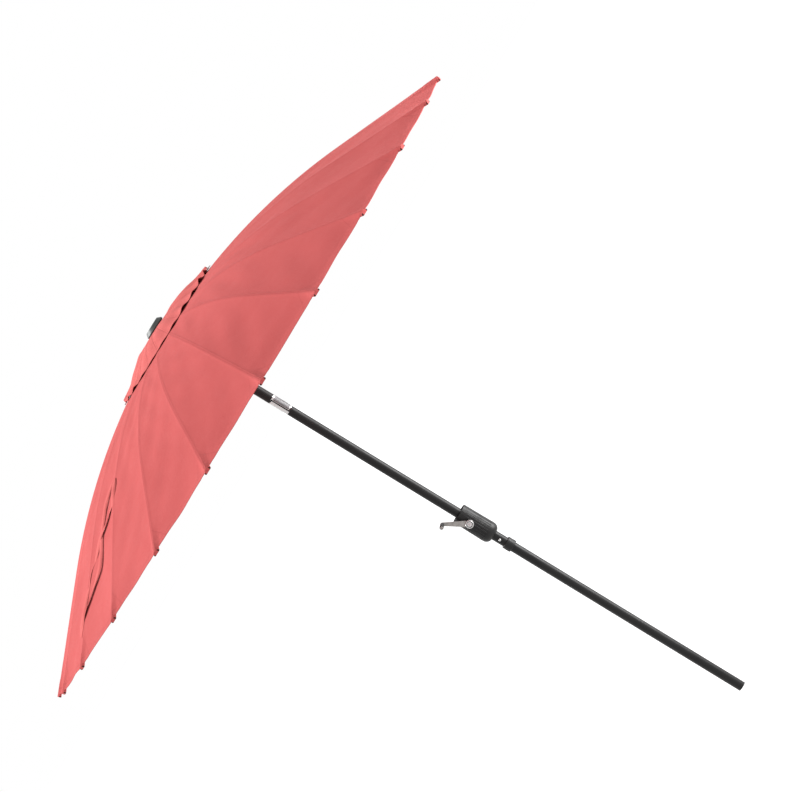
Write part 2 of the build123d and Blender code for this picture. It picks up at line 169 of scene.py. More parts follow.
class Paint:
    """A material under construction: short calls for the nodes that it needs."""

    def __init__(self, name):
        self.material = bpy.data.materials.new(name)
        self.material.use_nodes = True
        self.tree = self.material.node_tree
        self.shader = self.tree.nodes["Principled BSDF"]
        self.place = self.tree.nodes.new("ShaderNodeTexCoord").outputs["Object"]

    def feed(self, socket, value):
        if isinstance(value, bpy.types.NodeSocket):
            self.tree.links.new(value, socket)
        elif value is not None:
            socket.default_value = value

    def maths(self, operation, a, b=None, c=None, clamp=False):
        node = self.tree.nodes.new("ShaderNodeMath")
        node.operation, node.use_clamp = operation, clamp
        for socket, value in zip(node.inputs, (a, b, c)):
            self.feed(socket, value)
        return node.outputs[0]

    def split(self, vector):
        node = self.tree.nodes.new("ShaderNodeSeparateXYZ")
        self.feed(node.inputs[0], vector)
        return node.outputs

    def scaled(self, vector, scale):
        node = self.tree.nodes.new("ShaderNodeMapping")
        self.feed(node.inputs["Vector"], vector)
        node.inputs["Scale"].default_value = scale
        return node.outputs[0]

    def noise(self, scale, detail=3.0, vector=None, roughness=0.5):
        node = self.tree.nodes.new("ShaderNodeTexNoise")
        self.feed(node.inputs["Vector"], vector or self.place)
        node.inputs["Scale"].default_value = scale
        node.inputs["Detail"].default_value = detail
        node.inputs["Roughness"].default_value = roughness
        return node.outputs["Fac"]

    def ramp(self, factor, *stops):
        node = self.tree.nodes.new("ShaderNodeValToRGB")
        self.feed(node.inputs[0], factor)
        elements = node.color_ramp.elements
        while len(elements) < len(stops):
            elements.new(0.5)
        for element, (position, value) in zip(elements, stops):
            colour = (value, value, value) if isinstance(value, float) else value
            element.position, element.color = position, (*colour, 1.0)
        return node.outputs[0]

    def mix(self, factor, a, b, blend="MIX"):
        node = self.tree.nodes.new("ShaderNodeMix")
        node.data_type, node.blend_type = "RGBA", blend
        self.feed(node.inputs[0], factor)
        for socket, value in ((node.inputs[6], a), (node.inputs[7], b)):
            self.feed(socket, (*value, 1.0) if isinstance(value, tuple) else value)
        return node.outputs[2]

    def mottle(self, scale, dark, light, detail=5.0):
        """Two tones that drift into each other."""
        return self.mix(self.ramp(self.noise(scale, detail), (0.3, 0.0), (0.7, 1.0)), dark, light)

    def uneven(self, scale, low, high, detail=3.0):
        """A roughness that wanders between two values."""
        return self.ramp(self.noise(scale, detail), (0.3, low), (0.7, high))

    def bump(self, height, distance, strength=1.0, normal=None):
        node = self.tree.nodes.new("ShaderNodeBump")
        self.feed(node.inputs["Height"], height)
        node.inputs["Distance"].default_value = distance
        node.inputs["Strength"].default_value = strength
        self.feed(node.inputs["Normal"], normal)
        return node.outputs[0]

    def band(self, value, centre, half):
        """1 at a centre value, falling to 0 at half its width away."""
        off = self.maths("ABSOLUTE", self.maths("SUBTRACT", value, centre))
        return self.maths("SUBTRACT", 1.0, self.maths("DIVIDE", off, half), clamp=True)

    def finish(self, **sockets):
        for name, value in sockets.items():
            self.feed(self.shader.inputs[name.replace("_", " ")], value)
        return self.material


# ---------------------------------------------------------------- materials

CORAL_LIGHT = (0.405, 0.076, 0.074)
CORAL_DEEP = (0.355, 0.062, 0.060)
# The vent's coral is the canopy's painted brighter: painted light on the vent's flat top, also used for the
# closing loop's strands.
VENT_LIGHT = (0.470, 0.102, 0.096)
VENT_DEEP = (0.415, 0.084, 0.079)
PIPING_BROWN = (0.045, 0.016, 0.013)
# The thread's own darker coral, also used as painted shade in the cloth's folds.
THREAD_AND_FOLD_SHADE = (0.170, 0.018, 0.020)
STITCHES_PER_METRE = 280.0
WEAVE_PITCH = 0.0012


def stitches(p, value):
    """Dashes of thread along a direction."""
    return p.maths("GREATER_THAN", p.maths("FRACT", p.maths("MULTIPLY", value, STITCHES_PER_METRE)), 0.3)


def stitching(p, over, off, inward, patch):
    """Masks of the thread and of the folded edges, at the rib's seam, the hem and the corner patch; the folded
    edges' mask places painted shade.
    """
    dash_in, dash_over = stitches(p, inward), stitches(p, over)
    rows = p.maths("MULTIPLY", p.band(off, 0.0055, 0.0007), dash_in)
    hem_row = p.maths("MULTIPLY", p.band(inward, 0.0175, 0.0007), dash_over)
    thread = p.maths("MAXIMUM", rows, hem_row)
    fold = p.maths("MAXIMUM", p.band(off, 0.0, 0.0011), p.band(inward, 0.0208, 0.0012))
    if patch:
        corner = p.maths("ADD", inward, p.maths("MULTIPLY", off, 1.5))
        edge = p.maths("MULTIPLY", p.band(corner, patch, 0.0014), 0.8)
        fold = p.maths("MAXIMUM", fold, edge)
        row = p.maths("MULTIPLY", p.band(corner, patch - 0.006, 0.0008), dash_in)
        thread = p.maths("MAXIMUM", thread, row)
    return thread, fold


def cloth_material(name, deep, light, patch=0.0, piping=False):
    """Woven coral polyester. Its UV map holds metres: across from the rib's seam, and in from the hem."""
    p = Paint(name)
    uv = p.tree.nodes.new("ShaderNodeUVMap")
    uv.uv_map = "cloth"
    over, inward, _ = p.split(uv.outputs[0])
    off = p.maths("ABSOLUTE", over)
    thread, fold = stitching(p, over, off, inward, patch)
    warp = p.maths("SINE", p.maths("MULTIPLY", over, 2 * pi / WEAVE_PITCH))
    weft = p.maths("SINE", p.maths("MULTIPLY", inward, 2 * pi / WEAVE_PITCH))
    weave = p.maths("MULTIPLY", warp, weft)
    fade = p.noise(2.3, 4.0)
    slub = p.noise(60.0, 3.0, p.scaled(uv.outputs[0], (14.0, 1.0, 1.0)))
    tone = p.maths("ADD", p.maths("MULTIPLY", fade, 0.7), p.maths("MULTIPLY", slub, 0.3))
    colour = p.mix(p.ramp(tone, (0.33, 0.0), (0.67, 1.0)), deep, light)
    colour = p.mix(1.0, colour, p.ramp(weave, (0.0, 0.955), (1.0, 1.0)), "MULTIPLY")
    # Painted shade: the seam's groove, the hem's fold and the patch's edge are darkened towards the thread
    # colour, for shade in these creases.
    colour = p.mix(p.maths("MULTIPLY", fold, 0.62), colour, THREAD_AND_FOLD_SHADE)
    colour = p.mix(p.maths("MULTIPLY", thread, 0.25), colour, THREAD_AND_FOLD_SHADE)
    if piping:
        edge = p.maths("MULTIPLY", p.maths("LESS_THAN", inward, 0.0045), p.maths("GREATER_THAN", off, 0.0112))
        colour = p.mix(edge, colour, PIPING_BROWN)
    crumple = p.bump(p.noise(9.0, 4.0), 0.004, 0.30)
    layers = p.maths("SUBTRACT", p.band(off, 0.0, 0.0068), p.maths("MULTIPLY", fold, 1.6))
    stitched = p.bump(thread, 0.0004, 0.9, p.bump(layers, 0.00016, 1.0, crumple))
    normal = p.bump(weave, 0.00016, 0.55, stitched)
    return p.finish(Base_Color=colour, Roughness=p.uneven(24.0, 0.74, 0.86), Normal=normal, Sheen_Weight=0.03,
                    Sheen_Roughness=0.42, Sheen_Tint=(1.0, 0.70, 0.68, 1.0), Specular_IOR_Level=0.05)


def powder_coat_material():
    p = Paint("black_powder_coat_paint")
    colour = p.mix(p.ramp(p.noise(7.0, 5.0), (0.35, 0.0), (0.68, 1.0)), (0.0040, 0.0040, 0.0042),
                   (0.0085, 0.0082, 0.0082))
    dust = p.ramp(p.noise(380.0, 2.0), (0.60, 0.0), (0.74, 1.0))
    colour = p.mix(p.maths("MULTIPLY", dust, 0.10), colour, (0.05, 0.05, 0.048))
    rough = p.uneven(14.0, 0.36, 0.48, 4.0)
    normal = p.bump(p.noise(900.0, 2.0), 0.00020, 0.55)
    return p.finish(Base_Color=colour, Roughness=rough, Normal=normal, Specular_IOR_Level=0.20)


def moulded_material():
    """Moulded black plastic with a fine spark-eroded grain and scuffs."""
    p = Paint("black_plastic_paint")
    colour = p.mottle(22.0, (0.0048, 0.0048, 0.0050), (0.0110, 0.0108, 0.0105))
    scuff = p.ramp(p.noise(130.0, 4.0, p.scaled(p.place, (1.0, 1.0, 0.15))), (0.62, 0.0), (0.75, 1.0))
    colour = p.mix(p.maths("MULTIPLY", scuff, 0.22), colour, (0.045, 0.045, 0.043))
    rough = p.uneven(40.0, 0.36, 0.50)
    grain = p.tree.nodes.new("ShaderNodeTexVoronoi")
    p.feed(grain.inputs["Vector"], p.place)
    grain.inputs["Scale"].default_value = 1300.0
    normal = p.bump(grain.outputs["Distance"], 0.00016, 0.5)
    return p.finish(Base_Color=colour, Roughness=rough, Normal=normal, Specular_IOR_Level=0.22)


def finial_material():
    p = Paint("grey_plastic_paint")
    colour = p.mottle(30.0, (0.016, 0.021, 0.019), (0.034, 0.041, 0.038))
    _, _, z = p.split(p.place)
    low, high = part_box("finial")
    # Painted highlight: bands at the top edge and at the lower chamfer are painted lighter, for light on the
    # chamfer facets.
    rim = p.maths("MAXIMUM", p.band(z, high.z - 0.0006, 0.0016), p.band(z, low.z + 0.008, 0.0012))
    colour = p.mix(p.maths("MULTIPLY", rim, 0.55), colour, (0.10, 0.115, 0.11))
    rough = p.uneven(60.0, 0.46, 0.60)
    normal = p.bump(p.noise(700.0, 2.0), 0.00018, 0.5)
    return p.finish(Base_Color=colour, Roughness=rough, Normal=normal)


def bright_material():
    """Plated metal: brushed round the pole, with a rolled knurl on the tilt knuckle's right cheek, which is
    painted darker as painted shade.
    """
    p = Paint("bright_metal_paint")
    x, y, z = p.split(p.place)
    brushed = p.noise(30.0, 6.0, p.scaled(p.place, (1.0, 1.0, 60.0)), 0.6)
    colour = p.mix(p.ramp(brushed, (0.3, 0.0), (0.7, 1.0)), (0.42, 0.415, 0.41), (0.60, 0.595, 0.59))
    turn = p.maths("ARCTAN2", y, x)
    ridges = p.maths("MULTIPLY", p.maths("SINE", p.maths("MULTIPLY", turn, 42.0)),
                     p.maths("SINE", p.maths("MULTIPLY", z, 2 * pi / 0.0042)))
    middle = (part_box("tilt_knuckle_lower")[0].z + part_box("tilt_knuckle_upper")[1].z) / 2
    cheek = p.maths("MULTIPLY", p.maths("GREATER_THAN", x, 0.0035),
                    p.maths("LESS_THAN", p.maths("ABSOLUTE", p.maths("SUBTRACT", z, middle)), 0.034))
    # Painted shade: the knurled cheek is painted far darker than the plating, to tone down the softbox's
    # reflection on it.
    colour = p.mix(p.maths("MULTIPLY", cheek, 0.88), colour, (0.125, 0.125, 0.13))
    # Painted shade: the knurl's pits are painted near black.
    knurl_pit_shade = p.maths("MULTIPLY", p.maths("LESS_THAN", ridges, -0.35), cheek)
    colour = p.mix(p.maths("MULTIPLY", knurl_pit_shade, 0.70), colour, (0.03, 0.03, 0.033))
    rough = p.maths("ADD", p.ramp(brushed, (0.3, 0.22), (0.7, 0.36)), p.maths("MULTIPLY", cheek, 0.30))
    worn = p.bump(brushed, 0.00012, 0.35)
    normal = p.bump(p.maths("MULTIPLY", ridges, cheek), 0.00012, 0.8, worn)
    return p.finish(Base_Color=colour, Roughness=rough, Normal=normal, Metallic=1.0)


def cast_material():
    """Grey cast metal of the crank arm."""
    p = Paint("crank_grey_paint")
    colour = p.mottle(60.0, (0.20, 0.19, 0.18), (0.31, 0.295, 0.28))
    pits = p.ramp(p.noise(420.0, 3.0), (0.60, 0.0), (0.70, 1.0))
    colour = p.mix(p.maths("MULTIPLY", pits, 0.35), colour, (0.09, 0.085, 0.08))
    rough = p.uneven(90.0, 0.36, 0.52)
    normal = p.bump(p.noise(500.0, 4.0), 0.0003, 0.6)
    return p.finish(Base_Color=colour, Roughness=rough, Normal=normal, Metallic=0.55)


def frame_material():
    """Dark lacquered ribs and struts, with brown moulded caps on the rib ends."""
    p = Paint("frame_steel_paint")
    x, y, _ = p.split(p.place)
    out = p.maths("SQRT", p.maths("ADD", p.maths("MULTIPLY", x, x), p.maths("MULTIPLY", y, y)))
    lacquer = p.mottle(12.0, (0.007, 0.006, 0.006), (0.015, 0.013, 0.012))
    cap = p.mottle(160.0, (0.034, 0.012, 0.010), (0.060, 0.022, 0.017), 3.0)
    colour = p.mix(p.maths("GREATER_THAN", out, CAP_START_R), lacquer, cap)
    rough = p.uneven(35.0, 0.34, 0.52, 4.0)
    normal = p.bump(p.noise(240.0, 4.0, p.scaled(p.place, (1.0, 1.0, 5.0))), 0.0003, 0.45)
    return p.finish(Base_Color=colour, Roughness=rough, Normal=normal)


def cord_material():
    """Braided cord: two sets of strands crossing round it."""
    p = Paint("cord_paint")
    x, y, z = p.split(p.place)
    turn = p.maths("MULTIPLY", p.maths("ARCTAN2", p.maths("SUBTRACT", y, 0.022), x), 4.0)
    climb = p.maths("MULTIPLY", z, 2 * pi / 0.005)
    braid = p.maths("MULTIPLY", p.maths("SINE", p.maths("ADD", turn, climb)),
                    p.maths("SINE", p.maths("SUBTRACT", turn, climb)))
    colour = p.mix(p.ramp(braid, (0.0, 0.0), (1.0, 1.0)), (0.24, 0.23, 0.20), (0.42, 0.40, 0.37))
    colour = p.mix(p.ramp(p.noise(300.0, 2.0), (0.4, 0.0), (0.8, 0.4)), colour, (0.30, 0.28, 0.25))
    return p.finish(Base_Color=colour, Roughness=p.ramp(braid, (0.0, 0.9), (1.0, 0.7)),
                    Normal=p.bump(braid, 0.0004, 0.8))


def trim_material():
    """Pale woven nylon of the small vent tabs and the pale moulded hub insert."""
    p = Paint("pale_trim_paint")
    x, y, z = p.split(p.place)
    weave = p.maths("MULTIPLY", p.maths("SINE", p.maths("MULTIPLY", p.maths("ADD", x, y), 5200.0)),
                    p.maths("SINE", p.maths("MULTIPLY", z, 5200.0)))
    colour = p.mottle(200.0, (0.32, 0.29, 0.29), (0.48, 0.44, 0.44), 4.0)
    return p.finish(Base_Color=colour, Roughness=p.uneven(90.0, 0.45, 0.65), Normal=p.bump(weave, 0.0001, 0.4))


def paint_cad_nodes(paints):
    """Every CAD node gets the paint of its slot in the record."""
    slots = {s["node"]: s["material_slot"] for s in frame["record"]["subparts"]}
    for name, node in frame["nodes"].items():
        node.data.materials.clear()
        node.data.materials.append(paints[slots[name]])


# ---------------------------------------------------------------- mesh helpers

def shaded_mesh(name, points, faces, sharp, flat=None):
    """A smooth mesh with its edges over this many degrees sharp. flat is each point's place in the cloth."""
    mesh = bpy.data.meshes.new(name)
    mesh.from_pydata(points, [], faces)
    if flat:
        layer = mesh.uv_layers.new(name="cloth")
        for loop in mesh.loops:
            layer.data[loop.index].uv = flat[loop.vertex_index]
    mesh.shade_smooth()
    mesh.set_sharp_from_angle(angle=radians(sharp))
    return mesh


def wall_faces(rings, sides):
    """The side faces between rings of points."""
    faces = []
    for i in range(rings - 1):
        for j in range(sides):
            k = (j + 1) % sides
            faces.append((i * sides + j, i * sides + k, (i + 1) * sides + k, (i + 1) * sides + j))
    return faces


def capped_faces(rings, sides, flip=False):
    """A closed tube: its side faces, and one face on the first and last ring. flip turns them all over."""
    wall = wall_faces(rings, sides)
    first = list(range(sides))
    last = [(rings - 1) * sides + j for j in first]
    if flip:
        return [(a, d, c, b) for a, b, c, d in wall] + [tuple(first), tuple(reversed(last))]
    return wall + [tuple(reversed(first)), tuple(last)]


def soften(mesh, bevel, segments=3):
    """The mesh with its sharp edges rounded, through a bevel modifier that is applied."""
    name = mesh.name
    holder = link(name + "_holder", mesh)
    modifier = holder.modifiers.new("bevel", "BEVEL")
    modifier.width, modifier.segments, modifier.limit_method = bevel, segments, "ANGLE"
    modifier.angle_limit = radians(40.0)
    graph = bpy.context.evaluated_depsgraph_get()
    result = bpy.data.meshes.new_from_object(holder.evaluated_get(graph))
    bpy.data.objects.remove(holder)
    bpy.data.meshes.remove(mesh)
    result.name = name
    result.shade_smooth()
    result.set_sharp_from_angle(angle=radians(35.0))
    return result


BLOCK_CORNERS = ((-1, -1, -1), (1, -1, -1), (1, 1, -1), (-1, 1, -1),
                 (-1, -1, 1), (1, -1, 1), (1, 1, 1), (-1, 1, 1))
BLOCK_FACES = ((0, 3, 2, 1), (4, 5, 6, 7), (0, 1, 5, 4), (1, 2, 6, 5), (2, 3, 7, 6), (3, 0, 4, 7))


def block_mesh(name, centre, axes, size, bevel=0.0006):
    """A bevelled block on three axes, for small fittings."""
    points = []
    for signs in BLOCK_CORNERS:
        points.append(centre + sum((axes[i] * (signs[i] * size[i] / 2) for i in range(3)), Vector()))
    mesh = bpy.data.meshes.new(name)
    mesh.from_pydata(points, [], BLOCK_FACES)
    return soften(mesh, bevel)


def fitted(mesh, paint, body):
    """The mesh as a painted piece that moves with a body."""
    mesh.materials.append(paint)
    piece = link(mesh.name, mesh)
    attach(piece, body)
    return piece


# ---------------------------------------------------------------- shapes shared by the cloth pieces

def azimuth(rib):
    return -pi / 2 - rib * GORE


def radial(angle):
    return Vector((cos(angle), sin(angle), 0.0))


def tangent(angle):
    return Vector((-sin(angle), cos(angle), 0.0))


def rib_line(r):
    """Height and slope of the rib's centreline at radius r: straight, one arc, straight."""
    bend = (BEND_R[1] - BEND_R[0]) / (sin(TIP_SLOPE) - sin(HUB_SLOPE))
    start = HINGE_Z - (BEND_R[0] - HINGE_R) * tan(HUB_SLOPE)
    if r <= BEND_R[0]:
        return HINGE_Z - (r - HINGE_R) * tan(HUB_SLOPE), HUB_SLOPE
    if r < BEND_R[1]:
        rise = sin(HUB_SLOPE) + (r - BEND_R[0]) / bend
        slope = atan2(rise, sqrt(1.0 - rise * rise))
        return start - bend * (cos(HUB_SLOPE) - cos(slope)), slope
    end = start - bend * (cos(HUB_SLOPE) - cos(TIP_SLOPE))
    return end - (r - BEND_R[1]) * tan(TIP_SLOPE), TIP_SLOPE


def smooth(value, low, high):
    """0 below low, 1 above high, an S between them."""
    t = min(1.0, max(0.0, (value - low) / (high - low)))
    return t * t * (3.0 - 2.0 * t)


def gore_place(rib, u):
    """The gore that a point of rib's piece lies on, and how far across it, from 0 to 2."""
    if u > 0:
        return (rib - 1) % RIBS, 2.0 - u
    return rib, -u


def along(points, x):
    """A smooth line through (x, value) points, read at x."""
    for i in range(len(points) - 1):
        if x <= points[i + 1][0] or i == len(points) - 2:
            break
    before, after = points[max(i - 1, 0)], points[min(i + 2, len(points) - 1)]
    (x0, y0), (x1, y1) = points[i], points[i + 1]
    wide = x1 - x0
    m0 = (y1 - before[1]) / (x1 - before[0]) * wide
    m1 = (after[1] - y0) / (after[0] - x0) * wide
    t = (x - x0) / wide
    t2, t3 = t * t, t * t * t
    return (2 * t3 - 3 * t2 + 1) * y0 + (t3 - 2 * t2 + t) * m0 + (3 * t2 - 2 * t3) * y1 + (t3 - t2) * m1


draws = random.Random(24)
WRINKLES = [
    [(draws.uniform(0.0004, 0.0011), draws.uniform(1.2, 4.6), draws.uniform(-0.9, 0.9), draws.random())
     for _ in range(5)]
    for _ in range(RIBS)
]
SLACK = [draws.uniform(0.8, 1.25) for _ in range(RIBS)]
VENT_SLACK = [draws.uniform(0.65, 1.35) for _ in range(RIBS)]


def wrinkle(gore, x, r):
    """Soft folds of one gore, gone at its two ribs."""
    total = sum(size * sin(2 * pi * (r * often + x * lean + start))
                for size, often, lean, start in WRINKLES[gore])
    return total * sin(pi * x / 2) * smooth(r, 0.18, 0.6)


def pucker(off, inward):
    """Short pull lines that fan out from a rib's tip."""
    far = hypot(off, inward)
    fan = atan2(off, inward + 0.02)
    return 0.0011 * exp(-far / 0.11) * sin(8.0 * fan) ** 2


def drape(off, inward):
    """How far the hem hangs beside the end of a rib."""
    return 0.0075 * smooth(off, 0.005, 0.022) * (1.0 - smooth(inward, 0.0, 0.13))


def canopy_point(rib, u, inward, lift):
    """A point over rib's half gores: u from -1 to 1 across, inward in metres from the hem."""
    gore, x = gore_place(rib, u)
    outer = CANOPY_TIP_R - HEM_DIP * sin(pi * x / 2)
    r = CANOPY_INNER_R + (outer - CANOPY_INNER_R) * (1.0 - inward / CANOPY_SPAN)
    z, slope = rib_line(r)
    here, there = radial(azimuth(rib)) * r, radial(azimuth(rib) + (GORE if u > 0 else -GORE)) * r
    point = here.lerp(there, abs(u) / 2)
    half = r * sin(GORE / 2)
    normal = radial(azimuth(rib) + u * GORE / 2) * sin(slope) + Vector((0.0, 0.0, cos(slope)))
    sag = SAG * SLACK[gore] * half * x * (2.0 - x)
    lift += wrinkle(gore, x, r) - sag + pucker(abs(u) * half, inward) - drape(abs(u) * half, inward)
    return Vector((point.x, point.y, z)) + normal * lift, abs(u) * half


def cloth_thickness(off, inward, patch):
    """How far the outer and inner faces of the cloth stand from their usual place at seams and hems."""
    seam = 1.0 - smooth(off, 0.0062, 0.0074)
    groove = 1.0 - smooth(off, 0.0, 0.0015)
    hem = 1.0 - smooth(inward, 0.0190, 0.0212)
    corner = (1.0 - smooth(inward + 1.5 * off, patch - 0.002, patch)) if patch else 0.0
    return 0.0002 * seam - 0.0005 * groove + 0.0005 * hem + 0.0003 * corner, 0.0003 * hem


def across(half, columns):
    """Columns from one mid-gore to the other, closest at the seam, as shares of the half width."""
    first = SEAM_COLUMNS[-1] / half
    shares = [column / half for column in SEAM_COLUMNS]
    shares += [first + (1.0 - first) * (i + 1) / columns for i in range(columns)]
    return [-share for share in reversed(shares[1:])] + shares


def rows_inward(span, count):
    """Rows of a cloth as distances in from its hem, closest at the hem."""
    rest = span - HEM_ROWS[-1]
    return list(HEM_ROWS) + [HEM_ROWS[-1] + rest * (i + 1) / count for i in range(count)]


def sheet_mesh(name, rows, columns, place):
    """A closed thin sheet. place(row, column) gives its outer point, its inner point and its UV."""
    outer, inner, flat = [], [], []
    for i in range(rows):
        for j in range(columns):
            top, under, uv = place(i, j)
            outer.append(top)
            inner.append(under)
            flat.append(uv)
    count = rows * columns
    faces = []
    for i in range(rows - 1):
        for j in range(columns - 1):
            a, b = i * columns + j, (i + 1) * columns + j
            faces.append((a, a + 1, b + 1, b))
            faces.append((count + a, count + b, count + b + 1, count + a + 1))
    rim = [i * columns for i in range(rows)]
    rim += [(rows - 1) * columns + j for j in range(1, columns)]
    rim += [i * columns + columns - 1 for i in range(rows - 2, -1, -1)]
    rim += list(range(columns - 2, 0, -1))
    for a, b in zip(rim, rim[1:] + rim[:1]):
        faces.append((a, b, count + b, count + a))
    mesh = shaded_mesh(name, outer + inner, faces, 60.0, flat + flat)
    mesh.validate()
    return mesh


def rib_cloth(mesh, rib, paint):
    """A stretched cloth over one rib, between two radii, that moves with the rib."""
    panel = fitted(mesh, paint, f"rib_{rib:02d}")
    squash_at_rib(panel)


def squash_at_rib(piece):
    """Gives the piece its own copy of its mesh."""
    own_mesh(piece)


# ---------------------------------------------------------------- the main canopy

def canopy_panel(rib, paint):
    """The cloth over one rib, out to the middle of the gore on each side."""
    inwards = rows_inward(CANOPY_SPAN, CANOPY_ROWS)

    def place(i, j):
        inward = inwards[i]
        half = (CANOPY_TIP_R - inward) * sin(GORE / 2)
        u = across(half, CANOPY_COLUMNS)[j]
        proud, under = cloth_thickness(abs(u) * half, inward, CORNER_PATCH)
        top, reach = canopy_point(rib, u, inward, CLOTH_TOP + proud)
        low, _ = canopy_point(rib, u, inward, CLOTH_UNDER - under)
        return top, low, (reach if u > 0 else -reach, inward * CANOPY_RISE)

    mesh = sheet_mesh(f"canopy_panel_{rib:02d}", len(inwards), len(across(1.0, CANOPY_COLUMNS)), place)
    rib_cloth(mesh, rib, paint)


POCKET_SHAPE = ((0.0160, -0.0004), (0.0120, 0.0030), (0.0070, 0.0074), (0.0, 0.0088), (-0.0070, 0.0074),
                (-0.0120, 0.0030), (-0.0160, -0.0004), (-0.0158, -0.0044), (-0.0135, -0.0057), (0.0, -0.0059),
                (0.0135, -0.0057), (0.0158, -0.0044))
POCKET_RINGS = ((0.060, 0.90, 0.985), (0.045, 0.96, 0.60), (0.025, 1.0, 0.20), (0.010, 1.0, 0.0),
                (0.001, 0.98, 0.0), (-0.0004, 0.93, 0.06))


def tip_pocket(rib, paint):
    """The sewn pocket at the hem that the end of the rib sits in; its floor closes up to the cloth inwards."""
    side, out = tangent(azimuth(rib)), radial(azimuth(rib))
    points, flat = [], []
    for inward, wider, close in POCKET_RINGS:
        r = POCKET_TIP_R - inward
        z, slope = rib_line(r)
        normal = out * sin(slope) + Vector((0.0, 0.0, cos(slope)))
        for wide, high in POCKET_SHAPE:
            roof = 0.0088 - 0.0092 * smooth(abs(wide), 0.004, 0.0165)
            lift = high + (roof - 0.0012 - high) * close if high < 0 else high - 0.0007 * (close > 0.9)
            points.append(out * r + side * (wide * wider) + Vector((0.0, 0.0, z)) + normal * lift)
            flat.append((wide, inward + 0.001))
    faces = capped_faces(len(POCKET_RINGS), len(POCKET_SHAPE))
    mesh = shaded_mesh(f"tip_pocket_{rib:02d}", points, faces, 55.0, flat)
    fitted(mesh, paint, f"rib_{rib:02d}")


# ---------------------------------------------------------------- the vent canopy

def vent_gap(gore):
    """How far the vent's hem lifts off the canopy between two ribs: more at the sides, less over the crank."""
    angle = azimuth(gore + 0.5)
    return (0.0014 + 0.0100 * abs(cos(angle)) ** 1.5) * VENT_SLACK[gore]


def vent_waves(angle, r):
    """Long folds that run round the vent."""
    round_it = 0.0020 * sin(3 * angle + 0.6) + 0.0020 * sin(5 * angle + 2.1) + 0.0014 * sin(8 * angle + 4.0)
    lean = -0.0035 * cos(angle) * exp(-((r - 0.115) / 0.035) ** 2)
    return (round_it + lean) * smooth(r, 0.080, 0.14) * (1.0 - smooth(r, 0.25, 0.296))


def vent_point(rib, u, r, lift):
    gore, x = gore_place(rib, u)
    angle = azimuth(rib) + u * GORE / 2
    seat, slope = rib_line(r)
    seat += (CLOTH_TOP + 0.0022) / cos(slope)
    peak = sin(pi * x / 2) ** 2.4
    hem = seat + vent_gap(gore) * peak
    puff = 0.0030 * VENT_SLACK[gore] * sin(pi * x / 2) * smooth(r, 0.11, 0.19)
    free = along(VENT_LINE, r) + puff + vent_waves(angle, r)
    share = smooth(r, 0.195, VENT_OUTER_R)
    z = free * (1.0 - share) + hem * share
    here, there = radial(azimuth(rib)) * r, radial(azimuth(rib) + (GORE if u > 0 else -GORE)) * r
    point = here.lerp(there, abs(u) / 2)
    return Vector((point.x, point.y, z + lift)), abs(u) * r * sin(GORE / 2)


def vent_panel(rib, paint):
    """The vent's cloth over one rib."""
    inwards = rows_inward(VENT_SPAN, VENT_ROWS)

    def place(i, j):
        inward = inwards[i]
        r = VENT_OUTER_R - inward
        half = r * sin(GORE / 2)
        u = across(half, VENT_COLUMNS)[j]
        proud, under = cloth_thickness(abs(u) * half, inward, 0.0)
        top, reach = vent_point(rib, u, r, 0.0005 + proud)
        low, _ = vent_point(rib, u, r, -0.0004 - under)
        return top, low, (reach if u > 0 else -reach, inward)

    mesh = sheet_mesh(f"vent_panel_{rib:02d}", len(inwards), len(across(1.0, VENT_COLUMNS)), place)
    rib_cloth(mesh, rib, paint)


def ring_mesh(name, line, thickness, segments, ripple=0.0, waves=0):
    """A closed shell turned about Z from an (r, z) line, with an optional ripple that grows outwards."""
    rows = len(line)
    outer, inner = [], []
    for i, (r, z) in enumerate(line):
        for j in range(segments):
            angle = 2 * pi * j / segments
            swell = 1.0 + ripple * (i / (rows - 1)) ** 2 * sin(waves * angle)
            spot = radial(angle) * r * swell
            outer.append(Vector((spot.x, spot.y, z)))
            shrink = (r - thickness) / r if i > rows // 2 else 1.0
            inner.append(Vector((spot.x * shrink, spot.y * shrink, z - thickness)))
    count = rows * segments
    faces = []
    for i in range(rows - 1):
        for j in range(segments):
            a, b = i * segments + j, i * segments + (j + 1) % segments
            c, d = a + segments, b + segments
            faces.append((a, c, d, b))
            faces.append((count + a, count + b, count + d, count + c))
    last = (rows - 1) * segments
    for j in range(segments):
        k = (j + 1) % segments
        faces.append((j, k, count + k, count + j))
        faces.append((last + k, last + j, count + last + j, count + last + k))
    step = [0.0]
    for (r0, z0), (r1, z1) in zip(line, line[1:]):
        step.append(step[-1] + hypot(r1 - r0, z1 - z0))
    flat = [(0.02 + line[i][0] * 2 * pi * j / segments, 0.03 + step[i])
            for i in range(rows) for j in range(segments)]
    return shaded_mesh(name, outer + inner, faces, 60.0, flat + flat)


VENT_CAP_LINE = ((0.0125, 2.5842), (0.030, 2.5842), (0.046, 2.5842), (0.058, 2.5838), (0.066, 2.5836),
                 (0.0710, 2.5833), (0.0732, 2.5815), (0.0742, 2.5750), (0.0748, 2.5650))


def vent_cap(paint):
    """The reinforced middle of the vent under the finial, which stays on the mast as the ribs fold."""
    mesh = ring_mesh("vent_cap", VENT_CAP_LINE, 0.0008, 96, 0.012, RIBS)
    cap = fitted(mesh, paint, "mast")
    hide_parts("vent_canopy", "canopy")


# ---------------------------------------------------------------- vent tabs and the closing loop

